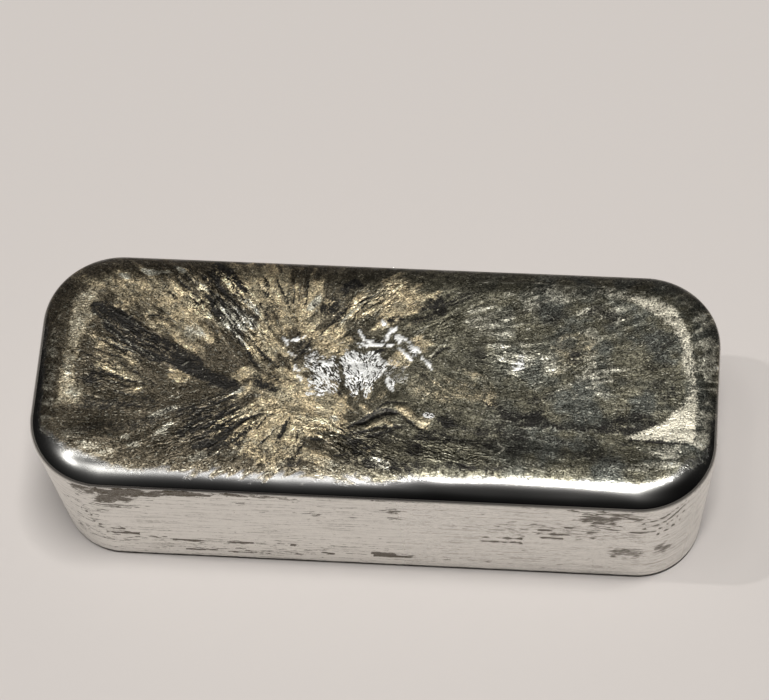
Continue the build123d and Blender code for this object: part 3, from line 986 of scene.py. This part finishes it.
class INGOT_OT_tarnish(bpy.types.Operator):
    """Gives the bar its finish: bare bright metal, crystals, straw oxide, olive tarnish and dark films, with
    painted shade along the edges and foot and painted reflection on the slabs
    """

    bl_idname = "ingot.tarnish"
    bl_label = "Tarnish the bar"

    def execute(self, context):
        material = bpy.data.materials.new("cast_metal")
        material.use_nodes = True
        shader = material.node_tree.nodes["Principled BSDF"]
        shader.inputs["Metallic"].default_value = 1.0
        metal = CastMetal(material.node_tree, context.scene.ingot_finish)
        metal.tree.links.new(metal.colour(), shader.inputs["Base Color"])
        metal.tree.links.new(metal.roughness(), shader.inputs["Roughness"])
        metal.tree.links.new(metal.relief(), shader.inputs["Normal"])
        context.object.data.materials.clear()
        context.object.data.materials.append(material)
        return {"FINISHED"}


def lamp(name, direction, size, power):
    """Hangs a soft rectangular lamp that shines on the bar from a direction."""
    data = bpy.data.lights.new(name, "AREA")
    data.shape = "RECTANGLE"
    data.size, data.size_y = size
    data.energy = power
    light = bpy.data.objects.new(name, data)
    way = Vector(direction).normalized()
    light.matrix_world = way.to_track_quat("Z", "Y").to_matrix().to_4x4()
    light.location = way * LAMP_DISTANCE
    bpy.context.collection.objects.link(light)


def place_camera(scene):
    """Puts the camera at the photograph's angle and distance."""
    data = bpy.data.cameras.new("camera")
    data.sensor_width = SENSOR_WIDTH
    data.lens = FOCAL_PIXELS * SENSOR_WIDTH / FRAME_PIXELS
    data.clip_start = NEAREST_SEEN * MM
    camera = bpy.data.objects.new("camera", data)
    camera.matrix_world = (
        Matrix.Rotation(math.radians(CAMERA_AZIMUTH), 4, "Z")
        @ Matrix.Rotation(math.radians(90 - CAMERA_ELEVATION), 4, "X")
        @ Matrix.Rotation(math.radians(CAMERA_ROLL), 4, "Z")
        @ Matrix.Translation(Vector((CAMERA_RIGHT, CAMERA_UP, CAMERA_DISTANCE)) * MM))
    bpy.context.collection.objects.link(camera)
    scene.camera = camera


class INGOT_OT_stage(bpy.types.Operator):
    """Sets the stage: a pale floor, soft lamps, a dim room and the camera"""

    bl_idname = "ingot.stage"
    bl_label = "Set the stage"

    def execute(self, context):
        look = context.scene.ingot_stage
        bpy.ops.object.select_all(action="DESELECT")
        bpy.ops.mesh.primitive_plane_add(size=FLOOR_SIZE)
        floor = context.object
        floor.name = "floor"
        material = bpy.data.materials.new("paper")
        material.use_nodes = True
        shader = material.node_tree.nodes["Principled BSDF"]
        shader.inputs["Base Color"].default_value = (*look.floor, 1)
        shader.inputs["Roughness"].default_value = PAPER_ROUGHNESS
        shader.inputs["Specular IOR Level"].default_value = PAPER_SHINE
        floor.data.materials.append(material)

        world = bpy.data.worlds.new("room")
        world.use_nodes = True
        world.node_tree.nodes["Background"].inputs["Color"].default_value = (*look.sky, 1)
        context.scene.world = world

        for settings in LAMPS:
            lamp(*settings)
        place_camera(context.scene)
        context.scene.view_settings.view_transform = "Standard"
        return {"FINISHED"}


STEPS = (INGOT_OT_pour, INGOT_OT_freeze, INGOT_OT_tarnish, INGOT_OT_stage)
GROUPS = {"ingot_form": IngotForm, "ingot_finish": IngotFinish, "ingot_stage": IngotStage}


class INGOT_PT_panel(bpy.types.Panel):
    """Lists the steps that make the ingot, and their settings."""

    bl_label = "Cast ingot"
    bl_idname = "INGOT_PT_panel"
    bl_space_type = "VIEW_3D"
    bl_region_type = "UI"
    bl_category = "Ingot"

    def draw(self, context):
        for step in STEPS:
            self.layout.operator(step.bl_idname)
        for group, kind in GROUPS.items():
            for name in kind.__annotations__:
                self.layout.prop(getattr(context.scene, group), name)


CLASSES = (*GROUPS.values(), *STEPS, INGOT_PT_panel)


def register():
    for item in CLASSES:
        bpy.utils.register_class(item)
    for name, kind in GROUPS.items():
        setattr(bpy.types.Scene, name, PointerProperty(type=kind))


def unregister():
    for name in GROUPS:
        delattr(bpy.types.Scene, name)
    for item in reversed(CLASSES):
        bpy.utils.unregister_class(item)


def main():
    register()
    bpy.ops.ingot.pour()
    bpy.ops.ingot.freeze()
    bpy.ops.ingot.tarnish()
    bpy.ops.ingot.stage()


if __name__ == "__main__":
    main()
